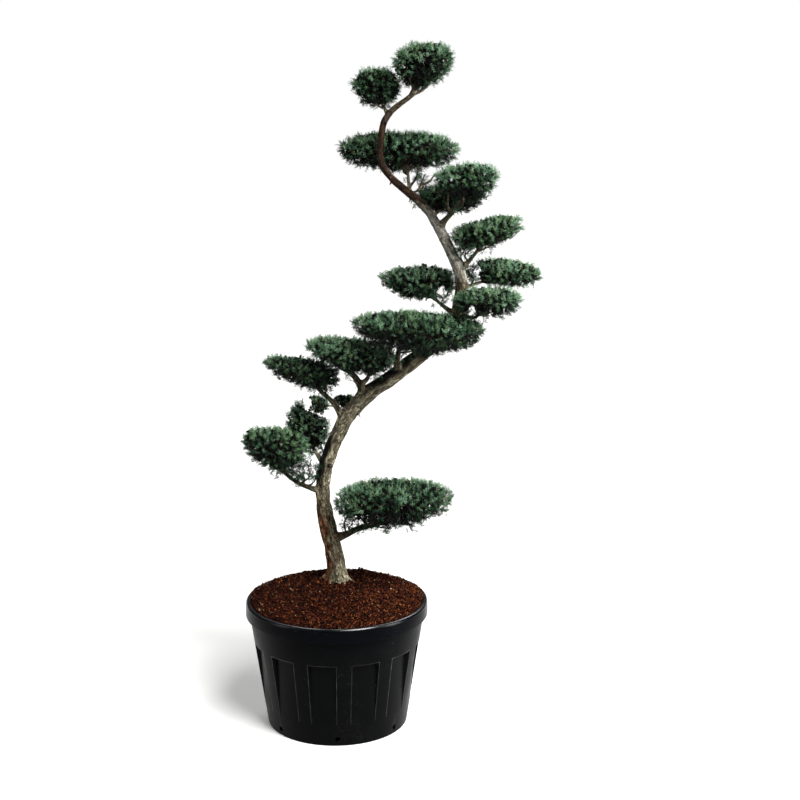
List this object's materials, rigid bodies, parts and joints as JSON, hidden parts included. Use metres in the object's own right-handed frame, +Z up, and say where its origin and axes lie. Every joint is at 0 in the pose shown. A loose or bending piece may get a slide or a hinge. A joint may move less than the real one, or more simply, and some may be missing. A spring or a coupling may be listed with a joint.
{
  "type": "potted cloud-pruned cypress bonsai",
  "caption": "Tall cypress trained as a cloud-pruned bonsai: a leaning, S-curved trunk with clipped foliage pads on short boughs, in a round ribbed nursery pot.",
  "frame": {"origin": "centre of the pot's flat underside", "axes": "+Z up, along the pot's axis and the plant's longest extent; -Y is the plant's front; the crown leans towards +X"},
  "size_m": [1.3042, 0.7936, 2.933],
  "materials": {
    "pot_plastic": "dull black polypropylene with a faint sheen and fine scuffs",
    "mulch": "rough fibrous bark mulch",
    "bark": "rough flaking bark",
    "foliage": "matt blue-green needle sprays"
  },
  "bodies": {
    "root": {"pot": "pot_plastic", "soil": "mulch", "trunk": "bark", "bough_low_right": "bark", "bough_low_left": "bark", "bough_left_crest": "bark", "bough_mid_left": "bark", "bough_tuft_left": "bark", "bough_tuft_back": "bark", "bough_middle": "bark", "spur_middle": "bark", "bough_broad": "bark", "spur_broad": "bark", "bough_upper_left": "bark", "bough_right_front": "bark", "bough_right_back": "bark", "bough_right_high": "bark", "bough_top_front": "bark", "bough_top_back": "bark", "bough_top_left": "bark", "bough_ball_left": "bark", "pad_low_right": "foliage", "pad_low_left": "foliage", "pad_left_crest": "foliage", "tuft_left": "foliage", "tuft_back": "foliage", "pad_mid_left": "foliage", "pad_middle": "foliage", "pad_broad": "foliage", "pad_upper_left": "foliage", "pad_right_front": "foliage", "pad_right_back": "foliage", "pad_right_high": "foliage", "pad_top_front": "foliage", "pad_top_back": "foliage", "pad_top_left": "foliage", "ball_left": "foliage", "ball_crown": "foliage"}
  },
  "joints": []
}
